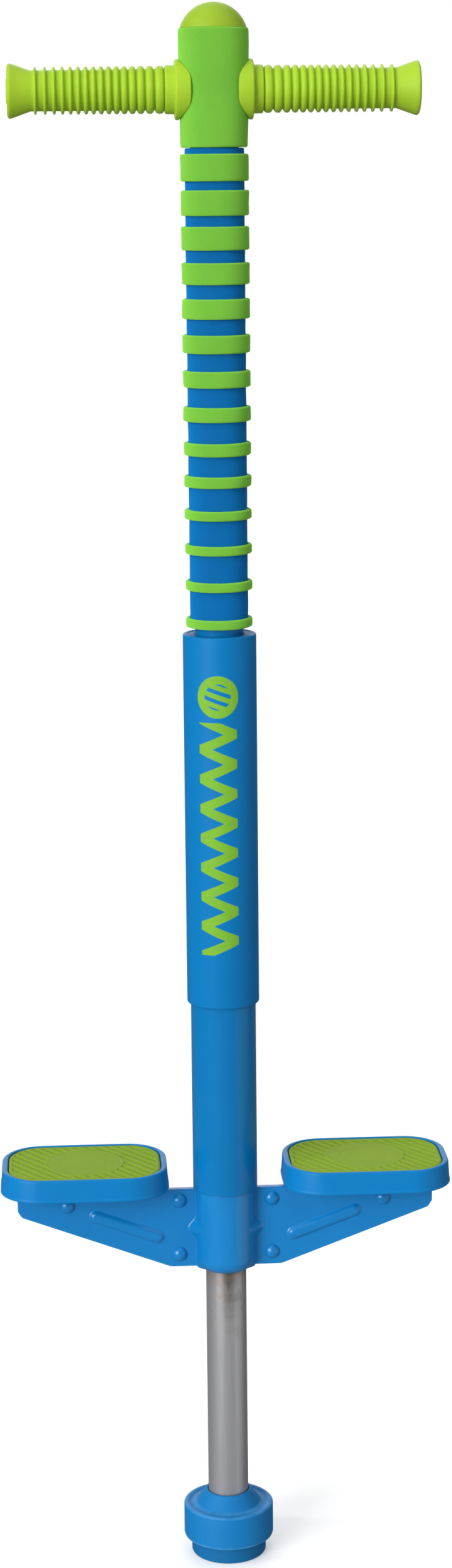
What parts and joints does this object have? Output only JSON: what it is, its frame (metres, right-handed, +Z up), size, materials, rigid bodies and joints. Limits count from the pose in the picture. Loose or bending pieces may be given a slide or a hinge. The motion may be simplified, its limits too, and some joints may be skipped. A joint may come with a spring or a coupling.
{
  "type": "pogo stick",
  "caption": "Child's pogo stick with foam-covered stem, ribbed T handlebar, two footrests on a riveted bracket and a sprung plunger with a rubber foot.",
  "frame": {"origin": "centre of the rubber foot's sole, on the ground", "axes": "+Z up along the stem, X along the handlebar and footrests, +Y the way the rider faces"},
  "size_m": [0.2458, 0.0628, 0.845],
  "materials": {
    "blue_paint": "gloss enamel",
    "blue_plastic": "semi-gloss moulded",
    "blue_foam": "matte closed-cell foam",
    "green_foam": "matte closed-cell foam",
    "lime_vinyl": "soft satin vinyl",
    "tread_green": "matte moulded tread",
    "steel": "drawn and polished",
    "spring_steel": "oiled spring wire",
    "blue_rubber": "matte moulded rubber",
    "black_rubber": "matte",
    "nylon": "natural nylon"
  },
  "bodies": {
    "stick": {"barrel_sleeve": "blue_plastic", "barrel_tube": "blue_paint", "bracket_front": "blue_paint", "bracket_rear": "blue_paint", "dome_cap": "lime_vinyl", "foam_ring_01": "green_foam", "foam_ring_02": "green_foam", "foam_ring_03": "green_foam", "foam_ring_04": "green_foam", "foam_ring_05": "green_foam", "foam_ring_06": "green_foam", "foam_ring_07": "green_foam", "foam_ring_08": "green_foam", "foam_ring_09": "green_foam", "foam_ring_10": "green_foam", "foam_ring_11": "green_foam", "foam_ring_12": "green_foam", "foam_ring_13": "green_foam", "foam_ring_14": "green_foam", "grip_left": "lime_vinyl", "grip_right": "lime_vinyl", "handlebar": "steel", "handlebar_pin": "steel", "head_foam": "green_foam", "lower_bush": "nylon", "main_spring": "spring_steel", "pedal_left": "blue_plastic", "pedal_right": "blue_plastic", "pedal_screw_left_inner": "steel", "pedal_screw_left_outer": "steel", "pedal_screw_right_inner": "steel", "pedal_screw_right_outer": "steel", "rebound_bumper": "black_rubber", "reducer_ring": "steel", "rivet_lower_left": "blue_paint", "rivet_lower_right": "blue_paint", "rivet_outer_left": "blue_paint", "rivet_outer_right": "blue_paint", "rivet_upper_left": "blue_paint", "rivet_upper_right": "blue_paint", "seat_pin": "steel", "spring_seat": "steel", "tread_left": "tread_green", "tread_right": "tread_green", "upper_foam": "blue_foam", "upper_tube": "blue_paint"},
    "follower": {"spring_follower": "nylon"},
    "plunger": {"plunger_tube": "steel", "stop_collar": "steel", "collar_pin": "steel", "rubber_foot": "blue_rubber", "foot_washer": "steel"}
  },
  "joints": [
    {"name": "plunger_slide", "type": "slide", "parent": "stick", "child": "follower", "axis": [0, 0, 1], "range_m": [0, 0.075], "stiffness_N_per_m": 7600, "springref_m": -0.01, "deforming": ["main_spring"]},
    {"name": "plunger_swivel", "type": "hinge", "parent": "follower", "child": "plunger", "pos_m": [0, 0, 0.25], "axis": [0, 0, 1], "continuous": true}
  ]
}
